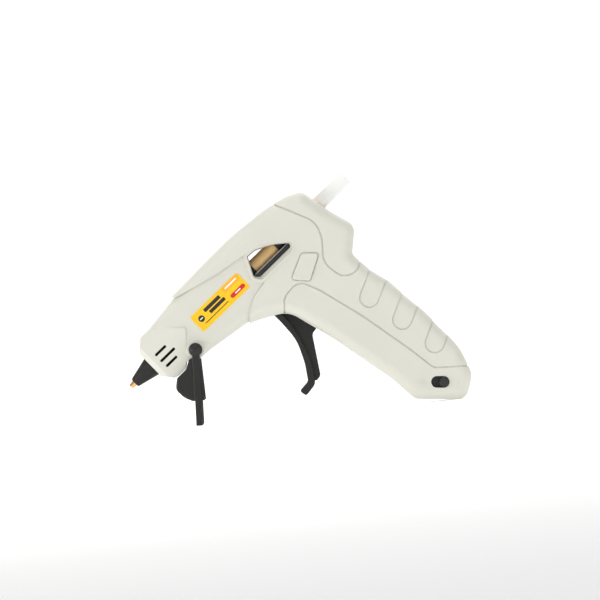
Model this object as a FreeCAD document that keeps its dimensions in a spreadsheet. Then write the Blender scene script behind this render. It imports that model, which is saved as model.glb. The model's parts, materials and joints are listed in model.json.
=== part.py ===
import FreeCAD, Part
import Sketcher
import math
import os

# Trigger-fed hot glue gun, in millimetres.
# Everything is drawn in the gun's own axes: +X runs back along the barrel from the nose face,
# +Y is the right-hand side and +Z is square to the barrel. The finished pieces are then all turned
# and lifted together, so that the stand's feet and the heel of the handle rest on Z = 0.

Vector = FreeCAD.Vector

DIMENSIONS = {
    "stick_radius": 3.6,
    "stick_front": 24.0,
    "stick_back": 130.0,
    # Nozzle
    "tip_reach": 14.2,
    "tip_radius": 1.15,
    "outlet_radius": 0.75,
    "cone_radius": 5.3,
    "cone_reach": 11.6,
    "cone_end_radius": 2.5,
    "boot_back": 16.0,
    "boot_radius": 7.3,
    "thread_radius": 3.0,
    "ball_radius": 1.5,
    "ball_centre": 1.2,
    # Melting chamber and heater
    "chamber_front": 5.0,
    "chamber_back": 57.0,
    "chamber_radius": 6.0,
    "chamber_bore": 3.75,
    "heater_front": 20.0,
    "heater_back": 46.0,
    "heater_half_width": 4.6,
    "heater_low": 6.9,
    "pocket_low": 7.3,
    "pocket_high": 10.6,
    "heater_high": 11.6,
    "film": 0.2,
    "electrode": 0.4,
    "sleeve_back": 67.8,
    "sleeve_radius": 5.4,
    # Feed mechanism
    "carriage_front": 82.5,
    "carriage_back": 99.0,
    "carriage_radius": 4.9,
    "rail_front": 66.5,
    "rail_back": 100.0,
    "rail_inside": 5.0,
    "rail_outside": 6.2,
    "rail_low": -6.8,
    "rail_high": -3.3,
    "carriage_bore": 3.95,
    "jaw_pin_x": 94.0,
    "jaw_pin_z": 8.2,
    "jaw_pin_radius": 1.0,
    # Trigger
    "pivot_x": 73.5,
    "pivot_z": -27.5,
    "pivot_pin_radius": 1.5,
    "running_clearance": 0.05,
    "drive_pin_z": -10.8,
    "drive_pin_radius": 1.3,
    "flange_half_width": 6.0,
    "web_half_width": 2.5,
    # Housing
    "half_width": 13.4,
    "edge_radius": 5.5,
    "cover_step": 1.2,
    "nose_step": 0.8,
    "wall": 1.8,
    "groove_depth": 0.55,
    "groove_width": 0.8,
    "recess_depth": 0.3,
    "recess_line": 0.6,
    "recess_radius": 4.9,
    "recess_angle": 24.5,
    "pad_height": 0.7,
    # Stand
    "stand_x": 20.8,
    "stand_z": -9.0,
    "stand_seat": 4.4,
    "stand_gap": 0.3,
    "arm_thickness": 2.4,
    "stub_radius": 1.6,
    "foot_x": -3.2,
    "foot_z": -36.3,
    "arm_half_width": 1.8,
    # Switch and cord inlet
    "switch_x": 93.8,
    "switch_z": -101.8,
    "slot_length": 8.8,
    "slot_height": 5.6,
    "knob_radius": 2.3,
    "inlet_radius": 3.3,
    "inlet_flange": 4.6,
    "screw_radius": 1.25,
    "head_radius": 2.5,
}

document = FreeCAD.newDocument("glue_gun")
sheet = document.addObject("Spreadsheet::Sheet", "dims")
for row, (alias, value) in enumerate(DIMENSIONS.items(), start=1):
    sheet.set(f"A{row}", alias)
    sheet.set(f"B{row}", str(value))
    sheet.setAlias(f"B{row}", alias)
document.recompute()


def dim(alias):
    """A driving dimension, read back from the spreadsheet."""
    return float(sheet.get(alias))


pieces = {}


def keep(label, item):
    """Name a finished sub-part: its label becomes its file's name."""
    item.Label = label
    pieces[label] = item
    return item


# ---------------------------------------------------------------- parametric helpers

def origin_plane(body, role):
    return next(feature for feature in body.Origin.OriginFeatures if feature.Role == role)


def polygon_sketch(body, name, role, corners):
    """A closed polygon whose corners are placed by expressions on the spreadsheet."""
    sketch = body.newObject("Sketcher::SketchObject", name)
    sketch.AttachmentSupport = [(origin_plane(body, role), "")]
    sketch.MapMode = "FlatFace"
    count = len(corners)
    ring = [Vector(math.cos(2 * math.pi * i / count), math.sin(2 * math.pi * i / count), 0)
            for i in range(count)]
    for i in range(count):
        sketch.addGeometry(Part.LineSegment(ring[i], ring[(i + 1) % count]), False)
    for i in range(count):
        sketch.addConstraint(Sketcher.Constraint("Coincident", i, 2, (i + 1) % count, 1))
    for i, (along, up) in enumerate(corners):
        for kind, expression in (("DistanceX", along), ("DistanceY", up)):
            index = sketch.addConstraint(Sketcher.Constraint(kind, -1, 1, i, 1, 0.0))
            sketch.setExpression(f"Constraints[{index}]", expression)
    return sketch


def turned(name, corners, bore=None):
    """A piece turned about the barrel axis from (x, radius) corners, with an optional inner groove."""
    body = document.addObject("PartDesign::Body", name)
    sketch = polygon_sketch(body, name + "_profile", "XZ_Plane", corners)
    spin = body.newObject("PartDesign::Revolution", name + "_turn")
    spin.Profile = sketch
    spin.ReferenceAxis = (sketch, ["H_Axis"])
    spin.Angle = 360
    if bore:
        document.recompute()
        hollow = polygon_sketch(body, name + "_bore", "XZ_Plane", bore)
        cut = body.newObject("PartDesign::Groove", name + "_hollow")
        cut.Profile = hollow
        cut.ReferenceAxis = (hollow, ["H_Axis"])
        cut.Angle = 360
    return body


def bind(item, **expressions):
    """Bind properties to expressions: Base_x stands for Placement.Base.x."""
    for key, expression in expressions.items():
        item.setExpression(key.replace("Base_", ".Placement.Base."), str(expression))
    return item


def box(name, x_low, x_high, y_low, y_high, z_low, z_high):
    """A box between limits that are expressions."""
    item = document.addObject("Part::Box", name)
    return bind(item, Length=f"({x_high}) - ({x_low})", Width=f"({y_high}) - ({y_low})",
                Height=f"({z_high}) - ({z_low})", Base_x=x_low, Base_y=y_low, Base_z=z_low)


TURN_TO = {
    "X": FreeCAD.Rotation(Vector(0, 1, 0), 90),
    "Y": FreeCAD.Rotation(Vector(1, 0, 0), -90),
    "Z": FreeCAD.Rotation(),
}


def cylinder(name, along, radius, start, end, first, second):
    """A cylinder along an axis from start to end. first and second place it across the axis,
    in the order X, Y, Z."""
    item = document.addObject("Part::Cylinder", name)
    item.Placement = FreeCAD.Placement(Vector(), TURN_TO[along])
    across = [axis for axis in "XYZ" if axis != along]
    places = {along: start, across[0]: first, across[1]: second}
    return bind(item, Radius=radius, Height=f"({end}) - ({start})",
                Base_x=places["X"], Base_y=places["Y"], Base_z=places["Z"])


def fuse(name, *items):
    item = document.addObject("Part::MultiFuse", name)
    item.Shapes = list(items)
    return item


def cut(name, base, *tools):
    item = document.addObject("Part::Cut", name)
    item.Base = base
    item.Tool = tools[0] if len(tools) == 1 else fuse(name + "_tools", *tools)
    return item


def settled(name, primitive):
    """Hold a primitive in a compound, so that the whole piece can be turned to its resting attitude
    while the primitive's own place stays bound to the spreadsheet."""
    item = document.addObject("Part::Compound", name)
    item.Links = [primitive]
    return item


def coil_spring(radius, wire_radius, turns, x_low, x_high, z):
    """A round-wire helix along the barrel direction."""
    length = x_high - x_low - 2 * wire_radius
    pitch = length / turns
    helix = Part.makeHelix(pitch, length, radius)
    slope = pitch / (2 * math.pi * radius)
    section = Part.Wire(Part.makeCircle(wire_radius, Vector(radius, 0, 0), Vector(0, 1, slope)))
    spring = Part.Wire(helix.Edges).makePipeShell([section], True, True)
    spring.rotate(Vector(), Vector(0, 1, 0), 90)
    spring.translate(Vector(x_low + wire_radius, 0, z))
    return spring


def solid_feature(name, shape):
    item = document.addObject("Part::Feature", name)
    item.Shape = shape
    return item


# ---------------------------------------------------------------- outlines in the gun's side view

def rounded_path(corners, closed=True):
    """Straight runs joined by tangent arcs, from (x, z, corner radius) triples."""
    points = [Vector(x, 0, z) for x, z, _ in corners]
    radii = [radius for _, _, radius in corners]
    count = len(points)
    starts = {}
    ends = {}
    arcs = {}
    for i in range(count):
        if radii[i] == 0 or (not closed and i in (0, count - 1)):
            starts[i] = ends[i] = points[i]
            continue
        back = (points[i - 1] - points[i]).normalize()
        ahead = (points[(i + 1) % count] - points[i]).normalize()
        half = back.getAngle(ahead) / 2
        reach = radii[i] / math.tan(half)
        centre_way = (back + ahead).normalize()
        centre = points[i] + centre_way * (radii[i] / math.sin(half))
        starts[i] = points[i] + back * reach
        ends[i] = points[i] + ahead * reach
        arcs[i] = Part.Arc(starts[i], centre - centre_way * radii[i], ends[i]).toShape()
    edges = []
    for i in range(count):
        if i in arcs:
            edges.append(arcs[i])
        if closed or i < count - 1:
            following = starts[(i + 1) % count]
            run = points[(i + 1) % count] - points[i]
            if (following - ends[i]).dot(run) < -1e-6:
                raise ValueError(f"corner arcs overlap after corner {i}, {corners[i]}")
            if ends[i].distanceToPoint(following) > 1e-6:
                edges.append(Part.LineSegment(ends[i], following).toShape())
    return Part.Wire(edges)


def prism(corners, y_low, y_high):
    """The rounded outline, carried across the gun from y_low to y_high."""
    face = Part.Face(rounded_path(corners))
    face.translate(Vector(0, y_low, 0))
    return face.extrude(Vector(0, y_high - y_low, 0))


def beside(corners, offset):
    """The same open path moved sideways by offset, with its corner radii changed to match."""
    points = [Vector(x, 0, z) for x, z, _ in corners]
    runs = [(after - before).normalize() for before, after in zip(points, points[1:])]
    moved = []
    for i, (x, z, radius) in enumerate(corners):
        before = runs[max(i - 1, 0)]
        after = runs[min(i, len(runs) - 1)]
        middle = (before + after).normalize()
        side = Vector(-middle.z, 0, middle.x)
        reach = offset / side.dot(Vector(-before.z, 0, before.x))
        turn = before.x * after.z - before.z * after.x
        new_radius = radius - offset * math.copysign(1, turn) if radius else 0
        moved.append((x + side.x * reach, z + side.z * reach, new_radius))
    return moved


def band(corners, width, y_low, y_high):
    """A narrow strip of even width along an open path, carried across the gun."""
    return prism(beside(corners, width / 2) + beside(corners, -width / 2)[::-1], y_low, y_high)


def rod(radius, y_low, y_high, x, z):
    return Part.makeCylinder(radius, y_high - y_low, Vector(x, y_low, z), Vector(0, 1, 0))


def block(x_low, x_high, y_low, y_high, z_low, z_high):
    return Part.makeBox(x_high - x_low, y_high - y_low, z_high - z_low, Vector(x_low, y_low, z_low))


# The closed form's side view, at the level of the raised cover.
BODY_OUTLINE = [
    (-9, 12.3, 6), (31, 17.35, 40), (70, 18.1, 120), (91, 16.1, 60), (104, 13.2, 25),
    (110, 9.6, 5.7), (112.9, -6, 25), (117.0, -19.6, 5.7), (106.4, -28.6, 3), (107.1, -38, 10),
    (109.8, -48.5, 14), (110.6, -58, 40), (111.9, -70, 60), (112.2, -88, 60), (111.9, -97, 25),
    (107.6, -110, 9), (97.1, -116.8, 5.7),
    (79.3, -99.3, 5.7), (78.5, -86, 40), (71.6, -51, 100), (65.2, -27.0, 12), (50, -18.7, 20),
    (25, -15.0, 20), (-9, -13.4, 6),
]
# The barrel panel, which lies one step below the cover that wraps round it.
PANEL_OUTLINE = [
    (-20, 40, 0), (30.2, 40, 0), (30.2, 15.7, 2), (51, 10.5, 60), (75.5, 6.0, 25),
    (85.6, 1.2, 14), (92.0, -9.1, 3.4), (68, -8.9, 40), (57.6, -10.6, 20), (46.8, -17.9, 10),
    (46.8, -60, 0), (-20, -60, 0),
]
NOSE_KEPT = [
    (0, 7.8, 1.2), (1.0, 9.3, 1.2), (5.9, 13.7, 1.5), (11.4, 13.5, 0.4), (11.8, 60, 0), (160, 60, 0),
    (160, -160, 0), (14.4, -160, 0), (14.4, -9.2, 0.8), (10.8, -12.2, 2.2), (4.6, -12.2, 3.0),
    (0, -6.4, 1.5),
]
# The nose cover's side plate, which stands a little proud of the barrel panel.
NOSE_PLATE = [(-20, 41.7, 0), (24.7, 2.0, 1.0), (11.6, -12.6, 0), (11.6, -60, 0), (-20, -60, 0)]
REAR_GROOVE = [
    (93.6, 20, 0), (99.6, 6.4, 30), (104.2, -4.6, 10), (102.0, -12.4, 17), (93.6, -21.5, 9),
    (95.0, -33.5, 7), (102.5, -36.2, 6), (110, -31.5, 0),
]
GRIP_GROOVE = [
    (63.5, -26.2, 0), (68.6, -20.6, 6), (78.9, -19.8, 6), (83.1, -30, 12), (89, -52.5, 80),
    (94.6, -82, 60), (96.2, -94.6, 4), (113, -109.3, 0),
]
SIDE_PAD = [(89.2, -11.4, 1.6), (95.2, -17.1, 1.2), (83.0, -23.6, 1.4), (77.0, -17.0, 1.4)]
# Middles of the finger recesses' round front ends.
GRIP_RECESSES = [(97.6, -49.2), (101.5, -67.8), (104.8, -86.6)]
WINDOW = [
    (69.3, 6.0, 0.8), (74.4, 5.7, 8), (82.0, 2.0, 30), (89.7, -4.1, 1.6), (87.3, -7.7, 2.0),
    (67.0, -7.8, 2.6), (64.3, -4.0, 2.6),
]
# The window's inner edge: close to the outer one above, and well inside it below.
WINDOW_THROAT = [
    (69.6, 5.6, 0.6), (74.3, 5.3, 8), (81.8, 1.6, 30), (88.6, -3.9, 1.1), (87.4, -5.6, 0.9),
    (67.2, -5.7, 1.8), (65.0, -3.6, 1.8),
]
WINDOW_BEVEL_DEPTH = 3.0
VENT_SLOTS = [(4.9, 11.9, 2.35), (4.7, 14.2, -1.45), (5.0, 12.2, -5.0)]
VENT_HEIGHT = 1.3
SCREW_PLACES = [(12.0, 9.6), (40.0, -11.0), (103.8, 7.8), (91.5, -27.5), (88.5, -60.0), (85.8, -85.0)]
BOSS_RADIUS = 2.9
PAD_GROOVE = 0.5
SEAM_DEPTH = 0.3
SEAM_HALF_WIDTH = 0.15
EDGE_BEVEL = 0.45
BUTT_MIDDLE = Vector(89.5, 0, -109.4)
BUTT_ALONG = Vector(97.1 - 79.3, 0, 99.3 - 116.8).normalize()
BUTT_OUT = Vector(BUTT_ALONG.z, 0, -BUTT_ALONG.x)
SLOT_ANGLE = math.degrees(math.atan2(-BUTT_ALONG.z, BUTT_ALONG.x))
INLET_Y = 2.2


def half_form(inset):
    """The left half of the closed form, taken in by inset all round, before the nose is cut."""
    outline = rounded_path(BODY_OUTLINE)
    if inset:
        outline = outline.makeOffset2D(-inset, 0, False, False, False)
    depth = dim("half_width") - inset
    solid = Part.Face(outline).extrude(Vector(0, -depth, 0))
    rim = [edge for edge in solid.Edges
           if all(abs(vertex.Y + depth) < 1e-4 for vertex in edge.Vertexes)]
    return solid.makeFillet(max(dim("edge_radius") - inset, 2.0), rim)


def nose_taper(inset):
    """Everything behind the nose face and between the nose's converging sides, taken in by inset."""
    corners = [(inset, 1), (inset, inset - 8.6), (2.4 + inset, inset - 10.7), (27, inset - 13.1),
               (34, -30), (160, -30), (160, 1)]
    points = [Vector(x, y, -200) for x, y in corners]
    return Part.Face(Part.makePolygon(points + points[:1])).extrude(Vector(0, 0, 300))


def seam(inset):
    """A shallow groove round the parting plane, at the level that lies inset from the closed form."""
    outline = Part.Face(rounded_path(BODY_OUTLINE))
    if inset:
        outline = Part.Face(rounded_path(BODY_OUTLINE).makeOffset2D(-inset, 0, False, False, False))
    core = Part.Face(rounded_path(BODY_OUTLINE).makeOffset2D(-inset - SEAM_DEPTH, 0, False, False, False))
    return outline.cut(core).extrude(Vector(0, -SEAM_HALF_WIDTH, 0))


def bevelled(shape, level, size):
    """Chamfer the edges that lie in the plane Y = level."""
    rim = [edge for edge in shape.Edges
           if edge.BoundBox.YLength < 1e-4 and abs(edge.BoundBox.YMin - level) < 1e-4]
    return shape.makeChamfer(size, rim)


def grip_recess(x, z, radius):
    """A finger recess with a round end at (x, z), open at the back of the handle."""
    slot = block(0, 30, -20, 1, -radius, radius).fuse(rod(radius, -20, 1, 0, 0))
    slot.rotate(Vector(), Vector(0, 1, 0), -dim("recess_angle"))
    slot.translate(Vector(x, 0, z))
    return slot


def along_butt(shape, x, z):
    """Turn a shape drawn about the origin so that its X axis runs along the butt face."""
    shape.rotate(Vector(), Vector(0, 1, 0), SLOT_ANGLE)
    shape.translate(Vector(x, 0, z))
    return shape


def oval(length, height, y_low, y_high):
    half = length / 2
    radius = height / 2 - 0.01
    return prism([(-half, height / 2, radius), (half, height / 2, radius),
                  (half, -height / 2, radius), (-half, -height / 2, radius)], y_low, y_high)


def shell_half():
    """What both shells share, drawn as the left one."""
    side = dim("half_width")
    deep = side + 5
    step = dim("cover_step")
    outer = half_form(0)
    panel = prism(PANEL_OUTLINE, -deep, 1)
    nose_plate = prism(NOSE_PLATE, -deep, 1)
    outer = outer.cut(panel.cut(nose_plate).cut(half_form(step)))
    nose_level = step - dim("nose_step")
    outer = outer.cut(nose_plate.cut(half_form(nose_level)))
    groove_floor = half_form(dim("groove_depth"))
    for path in (REAR_GROOVE, GRIP_GROOVE):
        outer = outer.cut(band(path, dim("groove_width"), -deep, 1).cut(groove_floor))
    recess_floor = half_form(dim("recess_depth"))
    radius = dim("recess_radius")
    for x, z in GRIP_RECESSES:
        recess = grip_recess(x, z, radius)
        line = recess.cut(grip_recess(x, z, radius - dim("recess_line")))
        outer = outer.cut(recess.cut(recess_floor)).cut(line.cut(groove_floor))
    outer = outer.cut(seam(0)).cut(seam(step).common(panel.cut(nose_plate)))
    outer = outer.cut(seam(nose_level).common(nose_plate))
    outer = outer.common(prism(NOSE_KEPT, -deep, 1)).common(nose_taper(0))
    pad_groove = Part.Face(rounded_path(SIDE_PAD).makeOffset2D(PAD_GROOVE, 0, False, False, False))
    pad_groove.translate(Vector(0, -deep, 0))
    pad_groove = pad_groove.extrude(Vector(0, deep - side + dim("groove_depth"), 0))
    pad_level = -side - dim("pad_height")
    pad = bevelled(prism(SIDE_PAD, pad_level, -side + 1), pad_level, EDGE_BEVEL)
    outer = outer.cut(pad_groove).fuse(pad)
    seat = bevelled(rod(dim("stand_seat"), -side, -9, dim("stand_x"), dim("stand_z")), -side, EDGE_BEVEL)
    outer = outer.fuse(seat)

    skin = step + dim("wall")
    inside = half_form(skin).common(nose_taper(skin)).common(block(4.0, 160, -deep, 1, -160, 60))
    shell = outer.cut(inside)
    # Collar round the window, level with the cover.
    ring = Part.Face(rounded_path(WINDOW).makeOffset2D(1.5, 0, False, False, False))
    ring.translate(Vector(0, -side + 0.3, 0))
    shell = shell.fuse(ring.extrude(Vector(0, side - 0.3 - 8.2, 0)))
    # Screw bosses, pivot boss, chamber ribs, the carriage's shelf and the spring's post.
    added = [rod(BOSS_RADIUS, -side, 0, x, z) for x, z in SCREW_PLACES]
    added.append(rod(3.6, -side, -3.2, dim("pivot_x"), dim("pivot_z")))
    added.append(block(16.8, 18.4, -side, 0, -17, 17))
    added.append(block(51.2, 52.8, -side, 0, -17, 6.4))
    added.append(block(68, 92, -side, -5.0, -11.4, -9.9))
    added.append(block(104.5, 106, -side, 0, -13, -6.5))
    limit = half_form(step + 0.8).common(nose_taper(step + 0.8)).common(prism(NOSE_KEPT, -deep, 1))
    ribs = added[0].multiFuse(added[1:]).common(limit)
    shell = shell.fuse(ribs.cut(rod_along_x(dim("chamber_radius") + dim("running_clearance"), 1, 60)))
    # Window, with a deep bevel all round.
    mouth = rounded_path(WINDOW)
    throat = rounded_path(WINDOW_THROAT)
    mouth.translate(Vector(0, -side, 0))
    throat.translate(Vector(0, WINDOW_BEVEL_DEPTH - side, 0))
    through = Part.Face(throat).extrude(Vector(0, side, 0))
    shell = shell.cut(Part.makeLoft([mouth, throat], True, True)).cut(through)
    # Vents, nozzle, stick, hinge pins.
    half_vent = VENT_HEIGHT / 2
    for x_low, x_high, z in VENT_SLOTS:
        shell = shell.cut(prism([(x_low, z + half_vent, 0.6), (x_high, z + half_vent, 0.6),
                                 (x_high, z - half_vent, 0.6), (x_low, z - half_vent, 0.6)], -deep, -5))
    shell = shell.cut(rod_along_x(dim("cone_radius") + 0.1, -1, 5))
    shell = shell.cut(rod_along_x(dim("boot_radius") + 0.1, 4.1, dim("boot_back") + 0.3))
    shell = shell.cut(rod_along_x(4.6, 100, 120))
    shell = shell.cut(rod(dim("pivot_pin_radius"), -12.0, 1, dim("pivot_x"), dim("pivot_z")))
    stub = dim("stub_radius") + dim("running_clearance")
    shell = shell.cut(rod(stub, -deep, -8, dim("stand_x"), dim("stand_z")))
    # The trigger's slot: wide where the flange swings, narrow down the front of the handle.
    shell = shell.cut(prism([(55.0, -16, 0), (66.5, -16, 0), (66.5, -33, 0), (55.0, -33, 0)],
                            -dim("flange_half_width") - 0.4, 1))
    shell = shell.cut(prism([(60, -20, 0), (72, -19, 0), (79, -27, 0), (77.5, -46, 0), (60, -58, 0)],
                            -dim("web_half_width") - 0.6, 1))
    return shell.removeSplitter()


def rod_along_x(radius, x_low, x_high):
    return Part.makeCylinder(radius, x_high - x_low, Vector(x_low, 0, 0), Vector(1, 0, 0))


def inlet_cutter(radius, start, end):
    """A round hole square to the butt face; start and end are measured outwards from the face."""
    base = BUTT_MIDDLE + Vector(0, INLET_Y, 0) + BUTT_OUT * start
    return Part.makeCylinder(radius, end - start, base, BUTT_OUT)


MARK_DEPTH = 0.25


def housing_shells():
    half = shell_half()
    other = half.mirror(Vector(), Vector(0, 1, 0))
    seat = inlet_cutter(dim("inlet_flange"), -1.2, 3)
    inlet = inlet_cutter(dim("inlet_flange") - 1.0, -9, 3).fuse(seat)
    left = half.cut(inlet)
    right = other.cut(inlet)
    switch_at = dim("switch_x"), dim("switch_z")
    slot = along_butt(oval(dim("slot_length"), dim("slot_height"), -20, -6), *switch_at)
    # A short bar moulded at the on end of the slot and a small ring at the off end.
    top = -dim("half_width") - 1
    floor = -dim("half_width") + MARK_DEPTH
    bar = along_butt(block(8.6, 9.0, top, floor, -1.0, 1.0), *switch_at)
    ring = along_butt(rod(1.1, top, floor, -8.4, 0).cut(rod(0.75, top, floor, -8.4, 0)), *switch_at)
    left = left.cut(slot).cut(bar).cut(ring)
    for x, z in SCREW_PLACES:
        left = left.cut(rod(dim("screw_radius"), -9.0, 1, x, z))
        right = right.cut(rod(dim("screw_radius") + 0.3, -1, 20, x, z))
        right = right.cut(rod(dim("head_radius") + 0.3, 6.0, 20, x, z))
    keep("left_housing_shell", solid_feature("left_shell", left))
    keep("right_housing_shell", solid_feature("right_shell", right))


# ---------------------------------------------------------------- nozzle, chamber and heater

def nozzle_and_valve():
    keep("nozzle_tip", turned("nozzle_tip", [
        ("-dims.tip_reach", "0"), ("-dims.tip_reach", "dims.tip_radius"),
        ("-dims.cone_reach", "dims.tip_radius + 0.35"), ("-dims.cone_reach + 6", "dims.tip_radius + 1.2"),
        ("-2.5", "3.9"), ("1.6", "3.9"), ("1.6", "dims.thread_radius"), ("9", "dims.thread_radius"),
        ("9", "0"),
    ], bore=[
        ("-dims.tip_reach - 1", "0"), ("-dims.tip_reach - 1", "dims.outlet_radius"),
        ("-dims.tip_reach + 3", "dims.outlet_radius"), ("-dims.tip_reach + 4", "1.2"),
        ("-5", "1.2"), ("-4", "dims.ball_radius + 0.25"), ("2.5", "dims.ball_radius + 0.25"),
        ("3.2", "1.3"), ("10", "1.3"), ("10", "0"),
    ]))
    keep("nozzle_insulator", turned("nozzle_insulator", [
        ("-dims.cone_reach", "dims.tip_radius + 0.35"), ("-dims.cone_reach", "dims.cone_end_radius - 0.5"),
        ("-dims.cone_reach + 0.5", "dims.cone_end_radius"), ("-0.3", "dims.cone_radius - 0.15"),
        ("4.2", "dims.cone_radius"), ("4.2", "dims.boot_radius"), ("dims.boot_back", "dims.boot_radius"),
        ("dims.boot_back", "dims.chamber_radius"), ("dims.chamber_front + 1", "dims.chamber_radius"),
        ("dims.chamber_front", "dims.chamber_radius - 1"), ("1.6", "dims.thread_radius"), ("1.6", "3.9"),
        ("-2.5", "3.9"), ("-dims.cone_reach + 6", "dims.tip_radius + 1.2"),
    ]))
    ball = document.addObject("Part::Sphere", "ball")
    bind(ball, Radius="dims.ball_radius", Base_x="dims.ball_centre")
    keep("check_ball", settled("check_ball", ball))
    spring = coil_spring(1.2, 0.24, 4, -3.6, -0.1, 0)
    keep("check_spring", solid_feature("check_spring", spring))


def chamber_and_heater():
    tube = turned("chamber_tube", [
        ("dims.chamber_front", "0"), ("dims.chamber_front", "dims.chamber_radius - 1.0"),
        ("dims.chamber_front + 1", "dims.chamber_radius"), ("dims.chamber_back", "dims.chamber_radius"),
        ("dims.chamber_back", "0"),
    ], bore=[
        ("dims.chamber_front - 1", "0"), ("dims.chamber_front - 1", "dims.thread_radius"),
        ("9", "dims.thread_radius"), ("9", "1.3"), ("12", "1.3"), ("16", "dims.chamber_bore"),
        ("dims.chamber_back + 1", "dims.chamber_bore"), ("dims.chamber_back + 1", "0"),
    ])
    housing = box("heater_block", "dims.heater_front", "dims.heater_back", "-dims.heater_half_width",
                  "dims.heater_half_width", "4", "dims.heater_high")
    pocket = box("heater_pocket", "dims.heater_front + 1.2", "dims.heater_back + 1", "-3.5", "3.5",
                 "dims.pocket_low", "dims.pocket_high")
    bore = cylinder("heater_bore", "X", "dims.chamber_bore + 1", "dims.heater_front - 1",
                    "dims.heater_back + 1", "0", "0")
    keep("melt_chamber", fuse("chamber", tube, cut("heater_case", housing, pocket, bore)))

    front = "dims.heater_front + 1.3"
    film_low = "dims.pocket_low"
    film_high = "dims.pocket_high - 0.02"
    skin = box("film_outer", front, "dims.heater_back + 1.2", "-3.4", "3.4", film_low, film_high)
    core = box("film_inner", "dims.heater_front", "dims.heater_back + 3", "-3.4 + dims.film",
               "3.4 - dims.film", film_low + " + dims.film", film_high + " - dims.film")
    keep("heater_film", cut("film", skin, core))
    low = "dims.pocket_low + dims.film"
    high = "dims.pocket_high - dims.film - 0.02"
    lower = box("lower_electrode", front, "dims.heater_back + 4", "-2.9", "2.9",
                low, low + " + dims.electrode")
    upper = box("upper_electrode", front, "dims.heater_back + 4", "-2.9", "2.9",
                high + " - dims.electrode", high)
    plates = document.addObject("Part::Compound", "electrode_pair")
    plates.Links = [lower, upper]
    keep("heater_electrodes", plates)
    plate = box("ceramic_plate", "dims.heater_front + 2", "dims.heater_back - 2", "-2.8", "2.8",
                low + " + dims.electrode", high + " - dims.electrode")
    keep("ptc_heater", settled("ptc_heater", plate))
    spring_out = box("clamp_outer", "30", "37", "-dims.heater_half_width - 0.6",
                     "dims.heater_half_width + 0.6", "5.0", "dims.heater_high + 0.6")
    spring_in = box("clamp_inner", "29", "38", "-dims.heater_half_width", "dims.heater_half_width",
                    "4", "dims.heater_high")
    keep("heater_clamp", cut("clamp_spring", spring_out, spring_in))
    keep("inlet_sleeve", turned("inlet_sleeve", [
        ("dims.chamber_back - 3", "dims.chamber_radius"),
        ("dims.chamber_back - 3", "dims.chamber_radius + 0.9"),
        ("dims.chamber_back + 1.5", "dims.chamber_radius + 0.9"),
        ("dims.chamber_back + 3.5", "dims.sleeve_radius"),
        ("dims.sleeve_back", "dims.sleeve_radius"), ("dims.sleeve_back", "dims.chamber_bore"),
        ("dims.chamber_back", "dims.chamber_bore"), ("dims.chamber_back", "dims.chamber_radius"),
    ]))
    keep("sleeve_clip", turned("sleeve_clip", [
        ("dims.chamber_back - 1.6", "dims.chamber_radius + 0.9"),
        ("dims.chamber_back - 1.6", "dims.chamber_radius + 1.5"),
        ("dims.chamber_back + 0.4", "dims.chamber_radius + 1.5"),
        ("dims.chamber_back + 0.4", "dims.chamber_radius + 0.9"),
    ]))
    keep("glue_stick", turned("glue_stick", [
        ("dims.stick_front", "0"), ("dims.stick_front", "dims.stick_radius - 1.2"),
        ("dims.stick_front + 1.6", "dims.stick_radius"), ("dims.stick_back - 0.3", "dims.stick_radius"),
        ("dims.stick_back", "dims.stick_radius - 0.3"), ("dims.stick_back", "0"),
    ]))


# ---------------------------------------------------------------- feed mechanism

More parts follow.
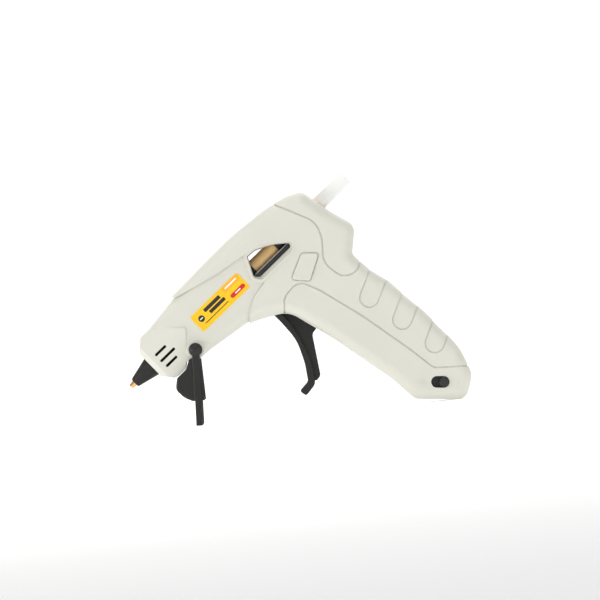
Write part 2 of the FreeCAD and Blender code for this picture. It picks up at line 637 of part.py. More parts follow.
def feed():
    barrel = cylinder("carriage_barrel", "X", "dims.carriage_radius", "dims.carriage_front",
                      "dims.carriage_back", "0", "0")
    ears = box("carriage_ears", "dims.jaw_pin_x - 3", "dims.jaw_pin_x + 3", "-4", "4",
               "3", "dims.jaw_pin_z + 1.9")
    legs = box("carriage_legs", "dims.pivot_x - 3.2", "dims.jaw_pin_x", "-4.4", "4.4", "-13.8", "-8.2")
    neck = box("carriage_neck", "dims.carriage_front", "dims.jaw_pin_x", "-4.4", "4.4", "-9", "-3.5")
    wings = box("carriage_wings", "dims.pivot_x + 1.5", "dims.jaw_pin_x - 3.5", "-7.6", "7.6",
                "-9.6", "-8.4")
    bore = cylinder("carriage_bore", "X", "dims.carriage_bore", "dims.carriage_front - 1",
                    "dims.carriage_back + 1", "0", "0")
    jaw_slot = box("jaw_slot", "dims.jaw_pin_x - 6.5", "dims.jaw_pin_x + 3.5", "-1.9", "1.9", "0", "12")
    arm_slot = box("arm_slot", "dims.pivot_x - 4", "dims.carriage_front + 1", "-2.4", "2.4", "-20", "-8")
    pin_slot = box("pin_slot", "dims.pivot_x - dims.drive_pin_radius - 0.2",
                   "dims.pivot_x + dims.drive_pin_radius + 0.2", "-9", "9", "-20",
                   "dims.drive_pin_z + dims.drive_pin_radius + 0.2")
    pin_hole = cylinder("jaw_pin_hole", "Y", "dims.jaw_pin_radius", "-9", "9",
                        "dims.jaw_pin_x", "dims.jaw_pin_z")
    solid = fuse("carriage_solid", barrel, ears, legs, neck, wings)
    keep("feed_carriage", cut("carriage", solid, bore, jaw_slot, arm_slot, pin_slot, pin_hole))
    pin = cylinder("jaw_pin_rod", "Y", "dims.jaw_pin_radius", "-4", "4", "dims.jaw_pin_x", "dims.jaw_pin_z")
    keep("jaw_pin", settled("jaw_pin", pin))

    jaw = prism([(-4.6, -4.25, 0), (-3.9, -3.7, 0), (-3.3, -4.25, 0), (-2.6, -3.6, 0), (-0.6, -3.3, 0.5),
                 (2.0, -0.8, 1.4), (1.4, 1.9, 1.2), (-1.4, 1.9, 1.2), (-4.9, -2.2, 0.6)], -1.5, 1.5)
    jaw = jaw.cut(rod(dim("jaw_pin_radius") + dim("running_clearance"), -2, 2, 0, 0))
    jaw.translate(Vector(dim("jaw_pin_x"), 0, dim("jaw_pin_z")))
    keep("grip_jaw", solid_feature("grip_jaw", jaw))

    spring = coil_spring(1.9, 0.35, 7, dim("jaw_pin_x") + 0.5, 104.0, -10.6)
    keep("return_spring", solid_feature("return_spring", spring))


RAIL_BEAD = 0.4


def guide():
    """Two rails for the carriage, joined by a cradle under the inlet sleeve."""
    left = box("left_rail", "dims.rail_front", "dims.rail_back", "-dims.rail_outside", "-dims.rail_inside",
               "dims.rail_low", "dims.rail_high")
    right = box("right_rail", "dims.rail_front", "dims.rail_back", "dims.rail_inside", "dims.rail_outside",
                "dims.rail_low", "dims.rail_high")
    cradle = box("cradle", "dims.chamber_back + 4", "dims.rail_front + 0.5", "-dims.rail_outside",
                 "dims.rail_outside", "dims.rail_low - 1.4", "dims.rail_high")
    bead = f"dims.rail_outside - {RAIL_BEAD}"
    left_bead = cylinder("left_bead", "X", RAIL_BEAD, "dims.rail_front", "dims.rail_back", "-(" + bead + ")",
                         "dims.rail_high")
    right_bead = cylinder("right_bead", "X", RAIL_BEAD, "dims.rail_front", "dims.rail_back", bead,
                          "dims.rail_high")
    hollow = cylinder("cradle_hollow", "X", "dims.sleeve_radius", "dims.chamber_back", "dims.rail_front + 1",
                      "0", "0")
    keep("feed_guide", cut("guide", fuse("guide_solid", left, right, cradle, left_bead, right_bead), hollow))


def trigger():
    px = dim("pivot_x")
    pz = dim("pivot_z")
    flange = prism([
        (58.8, -15.2, 0.5), (62.2, -15.2, 0.5), (62.4, -30, 40), (60.6, -39.5, 30), (57.2, -49.8, 30),
        (50.6, -60.9, 4.5), (43.2, -62.0, 1.3), (42.4, -58.1, 1.2), (48.6, -57.6, 2.5),
        (53.6, -50.2, 30), (58.6, -39.5, 25), (59.2, -28, 40)],
        -dim("flange_half_width"), dim("flange_half_width"))
    flange = bevelled(flange, -dim("flange_half_width"), EDGE_BEVEL)
    web = prism([
        (60.2, -16.0, 1), (66, -18, 2), (px - 1.9, pz + 6.5, 3), (px - 1.9, dim("drive_pin_z") + 1.7, 1.2),
        (px + 1.9, dim("drive_pin_z") + 1.7, 1.2), (px + 1.9, pz + 4.8, 2), (px + 4.6, pz, 4),
        (px + 1.5, pz - 5.6, 3), (69.2, -42.2, 1.2), (66.0, -42.6, 3), (54.9, -59.8, 2.4), (50.6, -60.4, 1.2),
        (53.0, -54.0, 3), (60.2, -42, 20)], -dim("web_half_width"), dim("web_half_width"))
    arm_trim = block(px - 4, px + 4, -9, 9, pz + 7, 0).cut(block(px - 4, px + 4, -2.1, 2.1, pz + 6, 1))
    solid = flange.fuse(web.cut(arm_trim))
    solid = solid.fuse(rod(dim("drive_pin_radius"), -4.6, 4.6, px, dim("drive_pin_z")))
    solid = solid.cut(rod(dim("pivot_pin_radius") + dim("running_clearance"), -9, 9, px, pz))
    keep("trigger", solid_feature("trigger", solid.removeSplitter()))
    pin = cylinder("pivot_rod", "Y", "dims.pivot_pin_radius", "-12", "12", "dims.pivot_x", "dims.pivot_z")
    keep("trigger_pivot_pin", settled("trigger_pivot_pin", pin))


# ---------------------------------------------------------------- stand

ARM_BEVEL = 0.35


def stand():
    pivot = Vector(dim("stand_x"), 0, dim("stand_z"))
    foot = Vector(dim("foot_x"), 0, dim("foot_z"))
    down = (foot - pivot).normalize()
    front = Vector(down.z, 0, -down.x)
    inside = dim("half_width") + dim("stand_gap")
    outside = inside + dim("arm_thickness")

    def place(along, ahead):
        """Distance along the arm from the pivot, and distance ahead of the arm's middle line."""
        point = pivot + down * along + front * ahead
        return point.x, point.z

    reach = (foot - pivot).Length
    half = dim("arm_half_width")
    arm = prism([place(-2, half) + (1.5,), place(22.6, half) + (0,), place(23.0, half - 0.35) + (0,),
                 place(reach, half - 0.35) + (0.6,), place(reach, -half) + (0.6,),
                 place(-2, -half) + (1.5,)], -outside, -inside)
    arm = bevelled(arm, -outside, ARM_BEVEL)
    boss = rod(2.85, -outside, -inside, pivot.x, pivot.z)
    crown = Part.makeSphere(4.6, Vector(pivot.x, -outside + 3.75, pivot.z)).common(
        block(pivot.x - 5, pivot.x + 5, -outside - 3, -outside + 0.5, pivot.z - 5, pivot.z + 5))
    stub = rod(dim("stub_radius"), -inside - 0.5, -9.4, pivot.x, pivot.z)
    side = arm.multiFuse([boss, crown, stub])

    edge = outside - 0.9
    scoop = prism([place(2.0, -half) + (0,), (15.2, -10.2, 1.0), (10.9, -12.6, 3.0), (4.9, -12.6, 2.0),
                   (0.6, -16.2, 3.5), (0.9, -21.8, 8), (2.6, -25.7, 2.5), place(24.4, -half - 1.5) + (0,)],
                  -edge, edge)
    rims = [rim for rim in scoop.Edges if rim.BoundBox.YLength < 1e-6]
    front_rims = [rim for rim in rims if place_ahead(rim, pivot, front) > 0.6]
    scoop = scoop.makeFillet(1.0, front_rims)
    hollow = prism([place(-3.0, -4) + (0,), place(-6.0, 12) + (0,), (2.0, -9.5, 0), (5.6, -14.4, 0.8),
                    (2.7, -16.6, 2.0), (2.6, -21.5, 7), (3.9, -24.4, 0.5), place(30, -4) + (0,)],
                   -inside, inside)
    scoop = scoop.cut(hollow)
    solid = side.fuse(side.mirror(Vector(), Vector(0, 1, 0))).fuse(scoop)
    keep("stand", solid_feature("stand", solid.removeSplitter()))


def place_ahead(edge, pivot, front):
    """How far in front of the arm's middle line an edge's nearest end lies."""
    return min((vertex.Point - pivot).dot(front) for vertex in edge.Vertexes)


# ---------------------------------------------------------------- switch, wiring and inlet

def switch_and_wiring():
    x = dim("switch_x")
    z = dim("switch_z")
    half_slot = dim("slot_length") / 2
    travel = dim("slot_length") - 2 * dim("knob_radius") - 0.6
    body = block(-7, 7, -9.6, -3.6, -4, 4).cut(block(-half_slot - 0.2, half_slot + 0.2, -10, -6.6, -2.6, 2.6))
    keep("switch_body", solid_feature("switch_body", along_butt(body, x, z)))
    knob_x = half_slot - dim("knob_radius") - 0.3
    top = -dim("half_width") - 1.0
    knob = rod(dim("knob_radius"), top, -9.0, knob_x, 0)
    rim = [edge for edge in knob.Edges if abs(edge.BoundBox.YMax - top) < 1e-3]
    knob = knob.makeFillet(0.5, rim)
    knob = knob.fuse(block(knob_x - 2.2, knob_x + 2.2, -9.3, -6.9, -2.3, 2.3))
    keep("switch_slider", solid_feature("switch_slider", along_butt(knob, x, z)))
    tabs = Part.makeCompound([block(at - 0.4, at + 0.4, -7.5, -5.5, 4, 7.5) for at in (-4.0, 4.0)])
    keep("switch_terminals", solid_feature("switch_terminals", along_butt(tabs, x, z)))

    flange = inlet_cutter(dim("inlet_flange") - dim("running_clearance"), -1.2, 0.0)
    barrel = inlet_cutter(dim("inlet_flange") - 1.0 - dim("running_clearance"), -8, -1.2)
    bush = flange.fuse(barrel).cut(inlet_cutter(dim("inlet_radius"), -9, 1))
    keep("cord_inlet_bush", solid_feature("cord_inlet_bush", bush))
    return travel


def wire_route(name, points, diameter):
    """A round wire along straight runs joined by tangent arcs of the largest even radius."""
    vectors = [Vector(*point) for point in points]
    edges = []
    start = vectors[0]
    for before, here, after in zip(vectors, vectors[1:], vectors[2:]):
        back = (before - here)
        ahead = (after - here)
        reach = 0.45 * min(back.Length, ahead.Length)
        back.normalize()
        ahead.normalize()
        half = back.getAngle(ahead) / 2
        radius = reach * math.tan(half)
        middle_way = (back + ahead).normalize()
        arc_middle = here + middle_way * (radius / math.sin(half) - radius)
        edges.append(Part.LineSegment(start, here + back * reach).toShape())
        edges.append(Part.Arc(here + back * reach, arc_middle, here + ahead * reach).toShape())
        start = here + ahead * reach
    edges.append(Part.LineSegment(start, vectors[-1]).toShape())
    path = Part.Wire(edges)
    section = Part.Wire(Part.makeCircle(diameter / 2, vectors[0], vectors[1] - vectors[0]))
    tube = path.makePipeShell([section], True, False)
    expected = math.pi * diameter ** 2 / 4 * path.Length
    if abs(tube.Volume - expected) > 0.01 * expected:
        raise RuntimeError(f"{name}: volume {tube.Volume:.1f}, expected {expected:.1f}")
    keep(name, solid_feature(name, tube))


WIRE_DIAMETER = 1.6
# Centre lines, from the heater's terminals down through the handle.
LIVE_ROUTE = [
    (49.8, -4.0, 8.3), (56, -6.5, 10.2), (64, -8.0, 11.6), (80, -7.4, 11.6), (94, -7.2, 10.2),
    (99.5, -8.2, 0), (103.5, -8.2, -14), (101.0, -7.8, -32), (101.5, -7.4, -52), (105.0, -6.6, -74),
    (104.6, -6.4, -90), (102.0, -6.5, -98.6),
]
NEUTRAL_ROUTE = [
    (49.8, 4.0, 9.6), (56, 6.5, 10.6), (64, 8.0, 11.6), (80, 7.4, 11.6), (94, 7.2, 10.2),
    (99.5, 8.2, 0), (103.5, 8.2, -14), (101.0, 7.8, -32), (101.5, 7.4, -52), (104.5, 6.6, -74),
    (103.0, 5.0, -90), (98.5, 3.4, -96.0),
]
CAP_RADIUS = 1.5
CAP_LENGTH = 6


def leads():
    wire_route("live_lead", LIVE_ROUTE, WIRE_DIAMETER)
    wire_route("neutral_lead", NEUTRAL_ROUTE, WIRE_DIAMETER)
    way = (Vector(*NEUTRAL_ROUTE[-1]) - Vector(*NEUTRAL_ROUTE[-2])).normalize()
    start = Vector(*NEUTRAL_ROUTE[-1]) + way * 0.02
    cap = Part.makeCylinder(CAP_RADIUS, CAP_LENGTH, start, way)
    keep("splice_cap", solid_feature("splice_cap", cap))


def screws():
    shanks = []
    for x, z in SCREW_PLACES:
        shank = rod(dim("screw_radius") - 0.03, -8.5, 6.0, x, z)
        head = rod(dim("head_radius"), 6.0, 7.8, x, z)
        rim = [edge for edge in head.Edges if abs(edge.BoundBox.YMin - 7.8) < 1e-3]
        head = head.makeFillet(0.6, rim)
        slot = block(x - 1.5, x + 1.5, 6.9, 8.2, z - 0.3, z + 0.3).fuse(
            block(x - 0.3, x + 0.3, 6.9, 8.2, z - 1.5, z + 1.5))
        shanks.append(shank.fuse(head).cut(slot))
    keep("housing_screws", solid_feature("housing_screws", Part.makeCompound(shanks)))


def label():
    level = -dim("half_width") + dim("cover_step")
    corners = [(29.4, 3.8, 1.3), (60.6, 3.8, 1.3), (60.6, -5.7, 1.3), (29.4, -5.7, 1.3)]
    keep("label_sticker", solid_feature("label_sticker", prism(corners, level - 0.15, level)))


housing_shells()
nozzle_and_valve()
chamber_and_heater()
feed()
guide()
trigger()
stand()
switch_travel = switch_and_wiring()
leads()
screws()
label()
document.recompute()

# ---------------------------------------------------------------- resting attitude
# The gun stands on its stand's feet and on the heel of its handle: the tilt is found that puts
# both at the same level.

def turned_box(shape, tilt):
    """The shape's limits once the gun is tilted by this many degrees."""
    turned_shape = shape.copy()
    turned_shape.rotate(Vector(), Vector(0, 1, 0), -tilt)
    return turned_shape.optimalBoundingBox(False, False)


least_tilt = 30.0
most_tilt = 50.0
for _ in range(22):
    tilt = (least_tilt + most_tilt) / 2
    feet = turned_box(pieces["stand"].Shape, tilt).ZMin
    heel = turned_box(pieces["left_housing_shell"].Shape, tilt).ZMin
    if feet > heel:
        least_tilt = tilt
    else:
        most_tilt = tilt
whole = FreeCAD.BoundBox()
for item in pieces.values():
    whole.add(turned_box(item.Shape, tilt))
lift = Vector(-whole.Center.x, -whole.Center.y, -whole.ZMin)
resting = FreeCAD.Placement(lift, FreeCAD.Rotation(Vector(0, 1, 0), -tilt))
for item in pieces.values():
    item.Placement = resting.multiply(item.Placement)
document.recompute()

# ---------------------------------------------------------------- checks and files
for item in document.Objects:
    if "Invalid" in item.State or "Error" in item.State:
        raise RuntimeError(f"{item.Name} failed: {item.State}")
os.makedirs("parts", exist_ok=True)
for label_text, item in pieces.items():
    shape = item.Shape
    if shape.isNull() or not shape.isValid() or not shape.Solids:
        raise RuntimeError(f"{label_text} has no valid solid")
    shape.exportStep(f"parts/{label_text}.step")
    print(f"{label_text:22s} solids {len(shape.Solids)} volume {shape.Volume:9.1f}")
print(f"tilt {tilt:.4f} lift {lift.x:.4f} {lift.y:.4f} {lift.z:.4f} switch travel {switch_travel:.2f}")
print(f"box {whole.XLength:.2f} {whole.YLength:.2f} {whole.ZLength:.2f}")
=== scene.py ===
import json
import math

import bmesh
import bpy
from mathutils import Matrix, Vector


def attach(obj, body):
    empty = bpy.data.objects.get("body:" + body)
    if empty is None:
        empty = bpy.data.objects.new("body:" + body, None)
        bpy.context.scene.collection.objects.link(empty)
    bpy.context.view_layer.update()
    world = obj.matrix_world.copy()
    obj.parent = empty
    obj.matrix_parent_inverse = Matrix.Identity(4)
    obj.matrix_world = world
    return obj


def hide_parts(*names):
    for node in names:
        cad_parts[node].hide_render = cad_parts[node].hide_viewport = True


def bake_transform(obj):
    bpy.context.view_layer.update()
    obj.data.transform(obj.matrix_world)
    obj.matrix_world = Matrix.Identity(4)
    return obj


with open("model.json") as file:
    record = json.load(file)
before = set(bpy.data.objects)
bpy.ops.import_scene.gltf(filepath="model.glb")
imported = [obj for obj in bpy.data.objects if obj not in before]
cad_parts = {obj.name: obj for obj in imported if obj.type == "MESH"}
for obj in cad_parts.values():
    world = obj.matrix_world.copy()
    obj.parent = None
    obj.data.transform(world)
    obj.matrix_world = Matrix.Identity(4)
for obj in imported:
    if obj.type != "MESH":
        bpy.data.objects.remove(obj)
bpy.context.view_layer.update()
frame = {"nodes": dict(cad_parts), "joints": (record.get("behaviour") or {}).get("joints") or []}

MM = 0.001
nodes = frame["nodes"]
joints = {joint["name"]: joint for joint in frame["joints"]}

# ---------------------------------------------------------------- the gun's own axes
# X runs back along the barrel from the nose face, Y to the right-hand side, Z square to the barrel.
# The joints say where these axes lie in the frame.
BARREL = -Vector(joints["stick_feed"]["axis"]).normalized()
ACROSS = Vector((0, 1, 0))
UP = BARREL.cross(ACROSS).normalized()
STAND_PIVOT = (20.8, -9.0)
NOSE = Vector(joints["stand_fold"]["pos_m"]) - (BARREL * STAND_PIVOT[0] + UP * STAND_PIVOT[1]) * MM


def at(x, y, z):
    """A point in the frame from the gun's own millimetres."""
    return NOSE + (BARREL * x + ACROSS * y + UP * z) * MM


# ---------------------------------------------------------------- camera and light
BARREL_SLOPE = math.radians(44.3)
FIELD = 0.2885
LENS = 300
SENSOR = 36
AIM = (73.1, 0.0, -26.9)


def make_camera():
    data = bpy.data.cameras.new("camera")
    data.lens = LENS
    data.sensor_width = SENSOR
    camera = bpy.data.objects.new("camera", data)
    bpy.context.scene.collection.objects.link(camera)
    distance = FIELD * LENS / SENSOR
    side_on = Matrix.Rotation(math.radians(90), 4, "X")
    resting_slope = math.atan2(BARREL.z, BARREL.x)
    rolled = Matrix.Rotation(resting_slope - BARREL_SLOPE, 4, "Z")
    camera.matrix_world = Matrix.Translation(at(*AIM) - ACROSS * distance) @ side_on @ rolled
    bpy.context.scene.camera = camera


def area_light(name, place, target, size, power, tint=(1, 1, 1)):
    data = bpy.data.lights.new(name, "AREA")
    data.shape = "RECTANGLE"
    data.size, data.size_y = size
    data.energy = power
    data.color = tint
    light = bpy.data.objects.new(name, data)
    bpy.context.scene.collection.objects.link(light)
    light.location = place
    light.rotation_euler = (Vector(target) - Vector(place)).to_track_quat("-Z", "Y").to_euler()


def make_studio():
    scene = bpy.context.scene
    scene.view_settings.view_transform = "Standard"
    world = bpy.data.worlds.new("studio")
    scene.world = world
    world.use_nodes = True
    background = world.node_tree.nodes["Background"]
    background.inputs["Color"].default_value = (1.0, 1.0, 1.0, 1)
    background.inputs["Strength"].default_value = 0.36
    middle = (0, 0, 0.07)
    area_light("key", (-0.25, -0.9, 0.75), middle, (0.7, 0.5), 2.5, (1.0, 0.985, 0.95))
    area_light("rim", (0.2, 0.7, 0.8), middle, (1.0, 0.5), 3.0)
    area_light("overhead", (0.0, 0.0, 1.0), middle, (1.0, 0.6), 5.0)
    area_light("left_fill", (-0.8, -0.3, 0.08), middle, (0.4, 0.15), 2.5)
    area_light("low_fill", (0.5, -0.6, 0.15), middle, (0.5, 0.4), 1.2, (0.94, 0.97, 1.0))

    floor_material = paper_white("floor_paper")
    half_width = 2.2
    front = -1.6
    back = 0.9
    turn_radius = 0.5
    wall_top = 2.2
    steps = 16
    profile = [(front, 0.0), (back, 0.0)]
    for i in range(1, steps + 1):
        angle = math.pi / 2 * i / steps
        profile.append((back + turn_radius * math.sin(angle), turn_radius * (1 - math.cos(angle))))
    profile.append((back + turn_radius, wall_top))
    mesh = bpy.data.meshes.new("backdrop")
    verts = [(x, y, z) for y, z in profile for x in (-half_width, half_width)]
    faces = [(2 * i, 2 * i + 1, 2 * i + 3, 2 * i + 2) for i in range(len(profile) - 1)]
    mesh.from_pydata(verts, [], faces)
    for face in mesh.polygons:
        face.use_smooth = True
    backdrop = bpy.data.objects.new("backdrop", mesh)
    scene.collection.objects.link(backdrop)
    backdrop.data.materials.append(floor_material)


# ---------------------------------------------------------------- materials

# Distances along the barrel, in metres, between which the stick changes from amber to milky.
WARM_END = 0.100
COLD_START = 0.116
# Heights over the barrel's axis between which a painted highlight turns the feed rail's edge pale.
HIGHLIGHT_LOW = -3.45 * MM
HIGHLIGHT_HIGH = -3.30 * MM
GRAIN_SCALE = 1900
GRAIN_DEPTH = 0.00012
LATHE_MARKS_PER_METRE = 9000


class Nodes:
    """A short way to write a node material."""

    def __init__(self, name):
        self.material = bpy.data.materials.new(name)
        self.material.use_nodes = True
        self.tree = self.material.node_tree
        self.shader = self.tree.nodes["Principled BSDF"]
        self.coords = self.add("ShaderNodeTexCoord").outputs["Object"]

    def add(self, kind, **settings):
        node = self.tree.nodes.new(kind)
        for key, value in settings.items():
            if hasattr(node, key):
                setattr(node, key, value)
            else:
                node.inputs[key].default_value = value
        return node

    def link(self, source, target):
        self.tree.links.new(source, target)

    def noise(self, scale, detail=3.0, roughness=0.5, stretch=None):
        """Noise whose features are about 1 / scale metres across."""
        source = self.coords
        if stretch:
            mapping = self.add("ShaderNodeMapping")
            mapping.inputs["Scale"].default_value = stretch
            self.link(source, mapping.inputs["Vector"])
            source = mapping.outputs["Vector"]
        node = self.add("ShaderNodeTexNoise", Scale=scale, Detail=detail, Roughness=roughness)
        self.link(source, node.inputs["Vector"])
        return node.outputs["Fac"]

    def ramp(self, factor, stops):
        node = self.add("ShaderNodeValToRGB")
        elements = node.color_ramp.elements
        while len(elements) < len(stops):
            elements.new(0.5)
        for element, (position, colour) in zip(elements, stops):
            element.position = position
            element.color = (*colour, 1)
        self.link(factor, node.inputs["Fac"])
        return node.outputs["Color"]

    def span(self, value, low, high, to_low=0.0, to_high=1.0):
        node = self.add("ShaderNodeMapRange")
        node.inputs["From Min"].default_value = low
        node.inputs["From Max"].default_value = high
        node.inputs["To Min"].default_value = to_low
        node.inputs["To Max"].default_value = to_high
        self.link(value, node.inputs["Value"])
        return node.outputs["Result"]

    def mix(self, factor, first, second, blend="MIX"):
        node = self.add("ShaderNodeMix", data_type="RGBA", blend_type=blend)
        for socket, value in ((node.inputs[0], factor), (node.inputs[6], first), (node.inputs[7], second)):
            if isinstance(value, bpy.types.NodeSocket):
                self.link(value, socket)
            elif isinstance(value, tuple):
                socket.default_value = (*value, 1)
            else:
                socket.default_value = value
        return node.outputs[2]

    def along(self, axis, origin):
        """Distance in metres from a point of the frame along an axis."""
        shift = self.add("ShaderNodeVectorMath", operation="SUBTRACT")
        shift.inputs[1].default_value = origin
        self.link(self.coords, shift.inputs[0])
        dot = self.add("ShaderNodeVectorMath", operation="DOT_PRODUCT")
        dot.inputs[1].default_value = axis
        self.link(shift.outputs["Vector"], dot.inputs[0])
        return dot.outputs["Value"]

    def bump(self, height, strength, distance):
        node = self.add("ShaderNodeBump")
        node.inputs["Strength"].default_value = strength
        node.inputs["Distance"].default_value = distance
        self.link(height, node.inputs["Height"])
        self.link(node.outputs["Normal"], self.shader.inputs["Normal"])

    def set(self, **values):
        for key, value in values.items():
            socket = self.shader.inputs[key.replace("_", " ")]
            if isinstance(value, bpy.types.NodeSocket):
                self.link(value, socket)
            elif isinstance(value, tuple):
                socket.default_value = (*value, 1)
            else:
                socket.default_value = value


def shade(colour, factor):
    return tuple(min(1.0, channel * factor) for channel in colour)


def paper_white(name):
    m = Nodes(name)
    tone = m.ramp(m.noise(6, 2), [(0.3, (0.90, 0.90, 0.90)), (0.7, (0.93, 0.93, 0.925))])
    m.set(Base_Color=tone, Roughness=0.9, Emission_Color=(1.0, 1.0, 1.0), Emission_Strength=0.38)
    return m.material


def moulded_plastic(name, colour, roughness, grain=0.05, spread=0.04, sheen=0.0, gloss=0.5, handled=0.12):
    """Injection-moulded plastic: spark-eroded grain, faint flow clouds and slightly polished patches."""
    m = Nodes(name)
    clouds = m.noise(35, 2)
    tone = m.ramp(clouds, [(0.3, shade(colour, 1 - spread)), (0.7, shade(colour, 1 + spread))])
    specks = m.noise(2600, 2, 0.6)
    tone = m.mix(m.span(specks, 0.35, 0.75, 0.0, 0.10), tone, shade(colour, 0.82))
    polish = m.span(m.noise(90, 3), 0.3, 0.7, roughness - handled / 2, roughness + handled / 2)
    m.set(Base_Color=tone, Roughness=polish)
    m.set(Specular_IOR_Level=gloss, Sheen_Weight=sheen, Sheen_Roughness=0.35)
    m.bump(m.noise(GRAIN_SCALE, 3, 0.65), grain, GRAIN_DEPTH)
    return m.material


def rail_with_painted_highlight(name, colour):
    """Smooth black plastic with a pale painted highlight along its top edge."""
    m = Nodes(name)
    tone = m.ramp(m.noise(35, 2), [(0.3, shade(colour, 0.85)), (0.7, shade(colour, 1.15))])
    # Painted highlight: a pale band along the rail's top edge stands in for a specular glint.
    highlight_band = m.span(m.along(UP, NOSE), HIGHLIGHT_LOW, HIGHLIGHT_HIGH)
    tone = m.mix(highlight_band, tone, PAINTED_HIGHLIGHT)
    m.set(Base_Color=tone, Roughness=m.span(m.noise(90, 3), 0.3, 0.7, 0.10, 0.22))
    m.set(Specular_IOR_Level=1.0)
    m.bump(m.noise(GRAIN_SCALE, 3, 0.65), 0.01, GRAIN_DEPTH)
    return m.material


def rubbery(name, colour, roughness=0.62):
    m = Nodes(name)
    tone = m.ramp(m.noise(60, 3), [(0.3, shade(colour, 0.85)), (0.7, shade(colour, 1.25))])
    m.set(Base_Color=tone, Roughness=m.span(m.noise(200, 2), 0.3, 0.7, roughness - 0.08, roughness + 0.08))
    m.set(Specular_IOR_Level=0.3)
    m.bump(m.noise(1200, 4, 0.7), 0.09, 0.00015)
    return m.material


def turned_metal(name, colour, roughness, axis=None):
    """Metal with lathe or draw marks; colour drifts a little with handling and heat."""
    m = Nodes(name)
    tone = m.ramp(m.noise(180, 3), [(0.3, shade(colour, 0.86)), (0.7, shade(colour, 1.06))])
    m.set(Base_Color=tone, Metallic=1.0)
    if axis is None:
        marks = m.noise(900, 2, 0.5)
    else:
        rings = m.add("ShaderNodeTexNoise", Scale=1.0, Detail=2.0)
        rings.noise_dimensions = "1D"
        scaled = m.add("ShaderNodeMath", operation="MULTIPLY")
        scaled.inputs[1].default_value = LATHE_MARKS_PER_METRE
        m.link(m.along(axis, NOSE), scaled.inputs[0])
        m.link(scaled.outputs[0], rings.inputs["W"])
        marks = rings.outputs["Fac"]
    m.set(Roughness=m.span(m.noise(140, 3), 0.3, 0.7, roughness * 0.8, roughness * 1.2))
    m.bump(marks, 0.12, 0.00008)
    return m.material


def glue_wax(name):
    """Hot-melt stick: milky and clear at the back, warmed to amber towards the chamber."""
    m = Nodes(name)
    place = m.along(BARREL, NOSE)
    warm = m.span(place, WARM_END, COLD_START, 1.0, 0.0)
    cloudy = m.ramp(m.noise(70, 1), [(0.3, (0.76, 0.76, 0.74)), (0.7, (0.81, 0.81, 0.79))])
    amber = m.ramp(m.noise(60, 1), [(0.3, (1.0, 0.60, 0.25)), (0.7, (1.0, 0.66, 0.30))])
    m.set(Base_Color=m.mix(warm, cloudy, amber))
    m.set(Roughness=m.span(m.noise(120, 2), 0.3, 0.7, 0.26, 0.34))
    m.set(Subsurface_Weight=0.10, Subsurface_Scale=0.002, IOR=1.48)
    m.bump(m.noise(120, 1), 0.04, 0.0001)
    return m.material


def amber_film(name):
    m = Nodes(name)
    tone = m.ramp(m.noise(300, 2), [(0.3, (0.62, 0.27, 0.03)), (0.7, (0.74, 0.36, 0.06))])
    m.set(Base_Color=tone, Roughness=m.span(m.noise(90, 2), 0.3, 0.7, 0.15, 0.3))
    m.set(Coat_Weight=0.4)
    return m.material


def printed(name, colour):
    """Ink under a gloss laminate."""
    m = Nodes(name)
    tone = m.ramp(m.noise(900, 2), [(0.35, shade(colour, 0.93)), (0.65, shade(colour, 1.04))])
    m.set(Base_Color=tone, Roughness=m.span(m.noise(250, 2), 0.3, 0.7, 0.28, 0.4))
    m.set(Coat_Weight=0.3)
    m.bump(m.noise(700, 2), 0.03, 0.00005)
    return m.material


def finish_node(name, material):
    mesh = nodes[name].data
    mesh.materials.clear()
    mesh.materials.append(material)


# ---------------------------------------------------------------- mesh helpers

# Share of a spring's length that is climbed evenly over all of its turns.
END_TURN_RISE = 0.06


def add_object(name, mesh, material, body):
    piece = bpy.data.objects.new(name, mesh)
    bpy.context.scene.collection.objects.link(piece)
    mesh.materials.append(material)
    if body:
        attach(piece, body)
    return piece


def ring_points(centre, first, second, radius, count):
    points = []
    for i in range(count):
        angle = 2 * math.pi * i / count
        points.append(centre + (first * math.cos(angle) + second * math.sin(angle)) * radius)
    return points


def tube_mesh(name, line, radius, sides):
    """A closed round wire along a line of points."""
    mesh = bpy.data.meshes.new(name)
    verts = []
    previous = None
    for i, point in enumerate(line):
        ahead = (line[min(i + 1, len(line) - 1)] - line[max(i - 1, 0)]).normalized()
        side = previous if previous else ahead.orthogonal().normalized()
        side = (side - ahead * side.dot(ahead)).normalized()
        previous = side
        verts += ring_points(point, side, ahead.cross(side), radius, sides)
    faces = []
    for i in range(len(line) - 1):
        for k in range(sides):
            a, b = i * sides + k, i * sides + (k + 1) % sides
            faces.append((a, b, b + sides, a + sides))
    faces.append(tuple(range(sides))[::-1])
    faces.append(tuple(range((len(line) - 1) * sides, len(line) * sides)))
    mesh.from_pydata([tuple(v) for v in verts], [], faces)
    for face in mesh.polygons:
        face.use_smooth = len(face.vertices) == 4
    return mesh


def coil_line(start, end, radius, turns, closed_turns=1.5, per_turn=28):
    """Points of a helix whose end turns are wound close together, as on a ground spring."""
    axis = (end - start)
    length = axis.length
    axis.normalize()
    side = ACROSS
    other = axis.cross(side)
    count = int(turns * per_turn)
    close = closed_turns / turns
    points = []
    for i in range(count + 1):
        share = i / count
        spread = min(max((share - close) / (1 - 2 * close), 0.0), 1.0)
        height = length * (END_TURN_RISE * share + (1 - END_TURN_RISE) * spread)
        angle = 2 * math.pi * turns * share
        points.append(start + axis * height + (side * math.cos(angle) + other * math.sin(angle)) * radius)
    return points


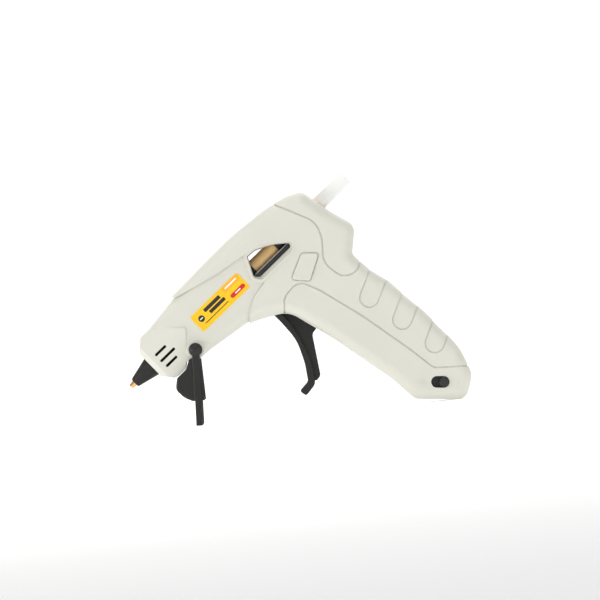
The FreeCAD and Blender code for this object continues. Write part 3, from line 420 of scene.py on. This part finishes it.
def print_patch(name, outline, level, thickness, material):
    """A thin printed shape on the left side: its outline is in the gun's (x, z) millimetres."""
    mesh = bpy.data.meshes.new(name)
    work = bmesh.new()
    verts = [work.verts.new(at(x, level, z)) for x, z in outline]
    face = work.faces.new(verts)
    extruded = bmesh.ops.extrude_face_region(work, geom=[face])
    moved = [item for item in extruded["geom"] if isinstance(item, bmesh.types.BMVert)]
    bmesh.ops.translate(work, verts=moved, vec=-ACROSS * thickness * MM)
    bmesh.ops.recalc_face_normals(work, faces=work.faces)
    work.to_mesh(mesh)
    work.free()
    return add_object(name, mesh, material, "housing")


def rounded_bar(x_low, x_high, z_low, z_high, radius, steps=6):
    """Outline of a bar with rounded corners."""
    points = []
    corners = [(x_high - radius, z_high - radius, 0), (x_low + radius, z_high - radius, 90),
               (x_low + radius, z_low + radius, 180), (x_high - radius, z_low + radius, 270)]
    for cx, cz, first in corners:
        for i in range(steps + 1):
            angle = math.radians(first + 90 * i / steps)
            points.append((cx + radius * math.cos(angle), cz + radius * math.sin(angle)))
    return points


# ---------------------------------------------------------------- finishes on the CAD pieces

SHELL = (0.600, 0.592, 0.525)
BLACK = (0.016, 0.016, 0.015)
# Pale colour of the painted highlight on the feed rail's top edge.
PAINTED_HIGHLIGHT = (0.50, 0.50, 0.48)


def finish_cad_pieces():
    shell = moulded_plastic("shell_plastic", SHELL, 0.46, grain=0.06, spread=0.02, sheen=0.35)
    black = moulded_plastic("black_plastic", BLACK, 0.42, grain=0.08, spread=0.15, gloss=0.3)
    # Glossy black feed rail carrying a painted highlight on its top edge.
    glossy_painted_highlight = rail_with_painted_highlight("glossy_black_painted_highlight", BLACK)
    switch = moulded_plastic("switch_plastic", (0.012, 0.012, 0.012), 0.30, grain=0.04, spread=0.2)
    silicone = rubbery("silicone", (0.013, 0.013, 0.012))
    brass = turned_metal("tip_brass", (0.85, 0.50, 0.22), 0.26, BARREL)
    steel = turned_metal("bright_steel", (0.60, 0.60, 0.59), 0.28)
    cast = turned_metal("cast_alloy", (0.66, 0.66, 0.67), 0.48)
    ceramic = rubbery("ceramic", (0.20, 0.17, 0.14), 0.7)
    finishes = {
        "left_housing_shell": shell, "right_housing_shell": shell,
        "trigger": black, "stand": black, "feed_carriage": black, "feed_guide": glossy_painted_highlight,
        "switch_slider": switch, "switch_body": switch, "splice_cap": switch,
        "nozzle_insulator": silicone, "inlet_sleeve": silicone, "cord_inlet_bush": silicone,
        "nozzle_tip": brass, "heater_electrodes": brass, "switch_terminals": brass,
        "check_ball": steel, "heater_clamp": steel, "sleeve_clip": steel, "jaw_pin": steel,
        "grip_jaw": steel, "trigger_pivot_pin": steel, "housing_screws": steel,
        "check_spring": steel, "return_spring": steel,
        "melt_chamber": cast, "ptc_heater": ceramic,
        "heater_film": amber_film("film"),
        "glue_stick": glue_wax("glue"),
        "live_lead": rubbery("brown_insulation", (0.14, 0.045, 0.015), 0.4),
        "neutral_lead": rubbery("blue_insulation", (0.02, 0.07, 0.32), 0.4),
        "label_sticker": printed("label_yellow", (0.92, 0.52, 0.0)),
    }
    for name, material in finishes.items():
        finish_node(name, material)
    return steel


# ---------------------------------------------------------------- pieces made here

# The label's outer face, in the gun's own millimetres, and how thick its print stands.
LABEL_FACE = -12.35
PRINT_THICKNESS = 0.02


def label_prints():
    level = LABEL_FACE
    ink = printed("ink_black", (0.012, 0.012, 0.012))
    orange = printed("ink_orange", (0.93, 0.40, 0.02))
    red = printed("ink_red", (0.62, 0.012, 0.012))
    white = printed("ink_white", (0.85, 0.85, 0.82))
    thick = PRINT_THICKNESS
    print_patch("label_orange_field", rounded_bar(49.6, 59.9, 0.5, 3.5, 0.6), level, thick, orange)
    print_patch("label_orange_bar", rounded_bar(51.0, 58.4, 1.7, 2.4, 0.3), level - thick, thick, white)
    print_patch("label_red_pill", rounded_bar(50.4, 59.4, -4.0, -1.9, 1.04), level, thick, red)
    print_patch("label_red_bar", rounded_bar(53.2, 56.6, -3.25, -2.65, 0.28), level - thick, thick, white)
    print_patch("label_disc", rounded_bar(31.6, 34.8, -2.0, 1.2, 1.59, 10), level, thick, ink)
    print_patch("label_disc_bar", rounded_bar(32.3, 34.1, -0.65, -0.15, 0.2), level - thick, thick, white)
    print_patch("label_bar_upper", rounded_bar(36.6, 46.8, 0.4, 2.2, 0.25), level, thick, ink)
    print_patch("label_bar_lower", rounded_bar(38.2, 48.0, -1.9, -0.2, 0.25), level, thick, ink)
    print_patch("label_bar_thin", rounded_bar(33.0, 48.4, -3.6, -3.2, 0.15), level, thick, ink)


def wire_piece(name, line, wire_radius, sides, material):
    piece = bpy.data.objects.new(name, tube_mesh(name, line, wire_radius, sides))
    bpy.context.scene.collection.objects.link(piece)
    piece.data.materials.append(material)
    return piece


def springs(steel):
    low = at(94.8, 0, -10.6)
    high = at(103.7, 0, -10.6)
    line = coil_line(low, high, 1.9 * MM, 8)
    spring = wire_piece("return_coil", line, 0.32 * MM, 10, steel)
    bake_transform(spring)
    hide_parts("return_spring")

    front = at(-3.4, 0, 0)
    back = at(-0.3, 0, 0)
    line = coil_line(front, back, 1.2 * MM, 5, closed_turns=1.0)
    spring = wire_piece("valve_coil", line, 0.16 * MM, 8, steel)
    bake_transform(spring)
    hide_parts("check_spring")


make_camera()
make_studio()
steel_finish = finish_cad_pieces()
label_prints()
springs(steel_finish)
